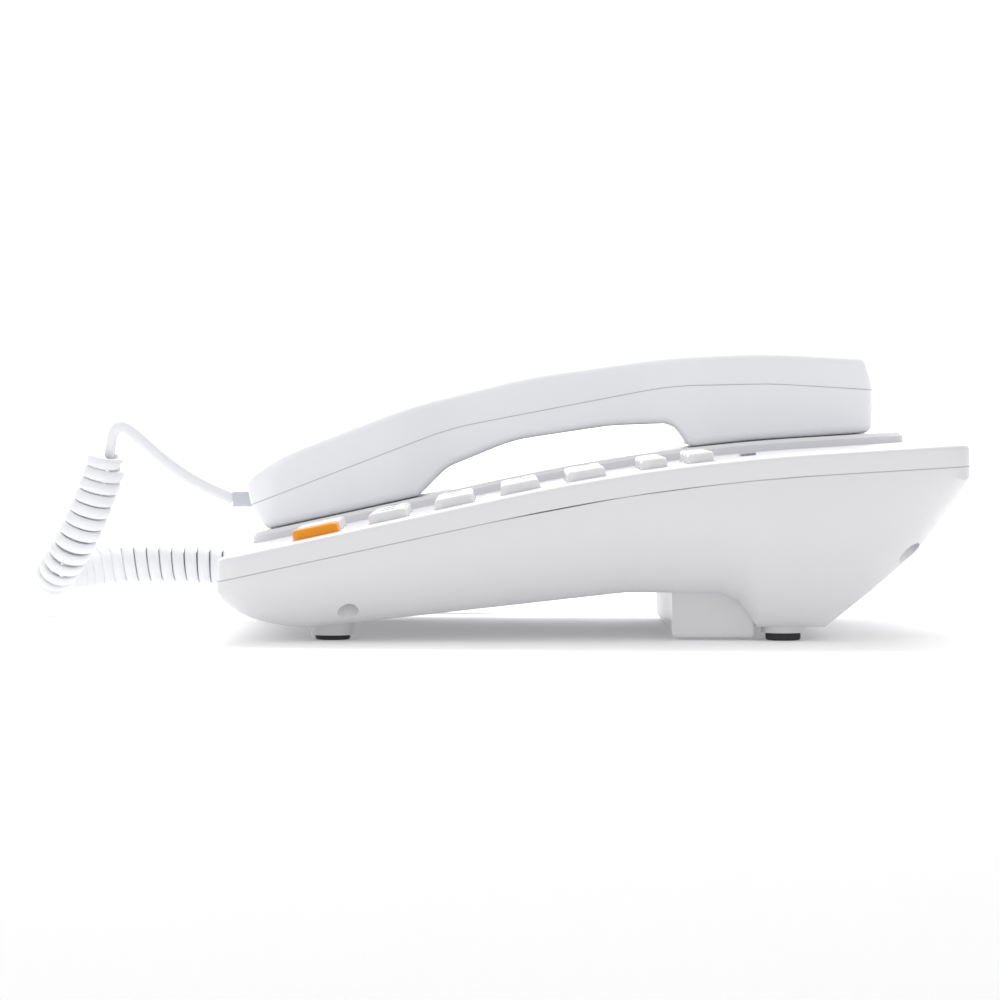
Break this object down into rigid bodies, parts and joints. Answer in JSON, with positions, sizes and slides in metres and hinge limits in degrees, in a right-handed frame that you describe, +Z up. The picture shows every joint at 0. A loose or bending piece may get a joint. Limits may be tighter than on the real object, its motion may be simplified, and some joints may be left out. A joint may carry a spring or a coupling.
{
  "type": "corded desk telephone",
  "caption": "Wedge-shaped desk telephone with push buttons, a handset lying lengthwise in its cradle, a coiled handset cord, hook switch, ringer and modular jacks.",
  "frame": {"origin": "middle of the base's footprint, on the surface that the feet stand on", "axes": "+Z up, +Y from the user towards the rear, +X towards the user's right; the handset lies on the left"},
  "size_m": [0.2014, 0.3036, 0.0902],
  "materials": {
    "base_upper_white": "satin moulded ABS",
    "base_lower_white": "satin moulded ABS",
    "handset_white": "satin moulded ABS",
    "key_white": "smooth moulded caps with printed legends",
    "key_orange": "smooth moulded cap",
    "foot_rubber": "matte rubber",
    "mat_rubber": "silicone rubber",
    "smoke_window": "smoke-tinted clear plastic",
    "card_paper": "uncoated card",
    "lamp_tint": "translucent blue-grey lens",
    "screw_steel": "zinc-plated steel",
    "board_green": "glass-fibre board with solder mask",
    "ballast_iron": "raw steel plate",
    "spring_steel": "spring wire",
    "mechanism_plastic": "black engineering plastic",
    "jack_plastic": "grey moulded jack",
    "plug_plastic": "translucent plug and boot",
    "cord_white": "satin cord jacket",
    "switch_grey": "moulded slider"
  },
  "bodies": {
    "base": {"top_shell": "base_upper_white", "bottom_shell": "base_lower_white", "housing_screws": "screw_steel", "front_feet": "foot_rubber", "rear_feet": "foot_rubber", "index_window": "smoke_window", "index_card": "card_paper", "ring_lamp": "lamp_tint", "key_mat": "mat_rubber", "main_board": "board_green", "board_screws": "screw_steel", "hook_spring": "spring_steel", "hook_switch": "mechanism_plastic", "ringer": "mechanism_plastic", "ballast_weight": "ballast_iron", "handset_jack": "jack_plastic", "line_jack": "mechanism_plastic", "base_plug": "plug_plastic", "base_cord_tail": "cord_white", "handset_cord_coil": "cord_white"},
    "handset": {"handset_upper_shell": "handset_white", "handset_lower_shell": "handset_white", "handset_screws": "screw_steel", "receiver_capsule": "mechanism_plastic", "microphone_capsule": "mechanism_plastic", "handset_weight": "ballast_iron", "handset_socket": "jack_plastic", "handset_plug": "plug_plastic", "handset_cord_tail": "cord_white"},
    "hook_plunger": {"hook_plunger": "key_white"},
    "ringer_switch": {"ringer_switch": "switch_grey"},
    "key_1": {"key_1": "key_white"},
    "key_2": {"key_2": "key_white"},
    "key_3": {"key_3": "key_white"},
    "key_4": {"key_4": "key_white"},
    "key_5": {"key_5": "key_white"},
    "key_6": {"key_6": "key_white"},
    "key_7": {"key_7": "key_white"},
    "key_8": {"key_8": "key_white"},
    "key_9": {"key_9": "key_white"},
    "key_star": {"key_star": "key_white"},
    "key_0": {"key_0": "key_white"},
    "key_hash": {"key_hash": "key_white"},
    "mute_key": {"mute_key": "key_white"},
    "flash_key": {"flash_key": "key_white"},
    "redial_key": {"redial_key": "key_orange"},
    "memory_key_1": {"memory_key_1": "key_white"},
    "memory_key_2": {"memory_key_2": "key_white"},
    "memory_key_3": {"memory_key_3": "key_white"},
    "memory_key_4": {"memory_key_4": "key_white"},
    "memory_key_5": {"memory_key_5": "key_white"},
    "memory_key_6": {"memory_key_6": "key_white"}
  },
  "joints": [
    {"name": "handset_lift", "type": "slide", "parent": "base", "child": "handset", "axis": [0, 0, 1], "range_m": [0, 0.06]},
    {"name": "hook_plunger_slide", "type": "slide", "parent": "base", "child": "hook_plunger", "axis": [0, 0, 1], "range_m": [0, 0.004], "deforming": ["hook_spring"]},
    {"name": "ringer_switch_slide", "type": "slide", "parent": "base", "child": "ringer_switch", "axis": [1, 0, 0], "range_m": [0, 0.005]},
    {"name": "key_1_press", "type": "slide", "parent": "base", "child": "key_1", "axis": [0, 0.1719, -0.9851], "range_m": [0, 0.0013], "stiffness_N_per_m": 400},
    {"name": "key_2_press", "type": "slide", "parent": "base", "child": "key_2", "axis": [0, 0.1719, -0.9851], "range_m": [0, 0.0013], "stiffness_N_per_m": 400},
    {"name": "key_3_press", "type": "slide", "parent": "base", "child": "key_3", "axis": [0, 0.1719, -0.9851], "range_m": [0, 0.0013], "stiffness_N_per_m": 400},
    {"name": "key_4_press", "type": "slide", "parent": "base", "child": "key_4", "axis": [0, 0.2035, -0.9791], "range_m": [0, 0.0013], "stiffness_N_per_m": 400},
    {"name": "key_5_press", "type": "slide", "parent": "base", "child": "key_5", "axis": [0, 0.2035, -0.9791], "range_m": [0, 0.0013], "stiffness_N_per_m": 400},
    {"name": "key_6_press", "type": "slide", "parent": "base", "child": "key_6", "axis": [0, 0.2035, -0.9791], "range_m": [0, 0.0013], "stiffness_N_per_m": 400},
    {"name": "key_7_press", "type": "slide", "parent": "base", "child": "key_7", "axis": [0, 0.2128, -0.9771], "range_m": [0, 0.0013], "stiffness_N_per_m": 400},
    {"name": "key_8_press", "type": "slide", "parent": "base", "child": "key_8", "axis": [0, 0.2128, -0.9771], "range_m": [0, 0.0013], "stiffness_N_per_m": 400},
    {"name": "key_9_press", "type": "slide", "parent": "base", "child": "key_9", "axis": [0, 0.2128, -0.9771], "range_m": [0, 0.0013], "stiffness_N_per_m": 400},
    {"name": "key_star_press", "type": "slide", "parent": "base", "child": "key_star", "axis": [0, 0.2128, -0.9771], "range_m": [0, 0.0013], "stiffness_N_per_m": 400},
    {"name": "key_0_press", "type": "slide", "parent": "base", "child": "key_0", "axis": [0, 0.2128, -0.9771], "range_m": [0, 0.0013], "stiffness_N_per_m": 400},
    {"name": "key_hash_press", "type": "slide", "parent": "base", "child": "key_hash", "axis": [0, 0.2128, -0.9771], "range_m": [0, 0.0013], "stiffness_N_per_m": 400},
    {"name": "mute_key_press", "type": "slide", "parent": "base", "child": "mute_key", "axis": [0, 0.2128, -0.9771], "range_m": [0, 0.0013], "stiffness_N_per_m": 400},
    {"name": "flash_key_press", "type": "slide", "parent": "base", "child": "flash_key", "axis": [0, 0.2128, -0.9771], "range_m": [0, 0.0013], "stiffness_N_per_m": 400},
    {"name": "redial_key_press", "type": "slide", "parent": "base", "child": "redial_key", "axis": [0, 0.2128, -0.9771], "range_m": [0, 0.0013], "stiffness_N_per_m": 400},
    {"name": "memory_key_1_press", "type": "slide", "parent": "base", "child": "memory_key_1", "axis": [0, 0.1396, -0.9902], "range_m": [0, 0.0013], "stiffness_N_per_m": 400},
    {"name": "memory_key_2_press", "type": "slide", "parent": "base", "child": "memory_key_2", "axis": [0, 0.1396, -0.9902], "range_m": [0, 0.0013], "stiffness_N_per_m": 400},
    {"name": "memory_key_3_press", "type": "slide", "parent": "base", "child": "memory_key_3", "axis": [0, 0.1396, -0.9902], "range_m": [0, 0.0013], "stiffness_N_per_m": 400},
    {"name": "memory_key_4_press", "type": "slide", "parent": "base", "child": "memory_key_4", "axis": [0, 0.1173, -0.9931], "range_m": [0, 0.0013], "stiffness_N_per_m": 400},
    {"name": "memory_key_5_press", "type": "slide", "parent": "base", "child": "memory_key_5", "axis": [0, 0.1173, -0.9931], "range_m": [0, 0.0013], "stiffness_N_per_m": 400},
    {"name": "memory_key_6_press", "type": "slide", "parent": "base", "child": "memory_key_6", "axis": [0, 0.1173, -0.9931], "range_m": [0, 0.0013], "stiffness_N_per_m": 400}
  ],
  "couplings": [
    {"joint": "hook_plunger_slide", "follows": "handset_lift", "ratio": 0.06666}
  ]
}
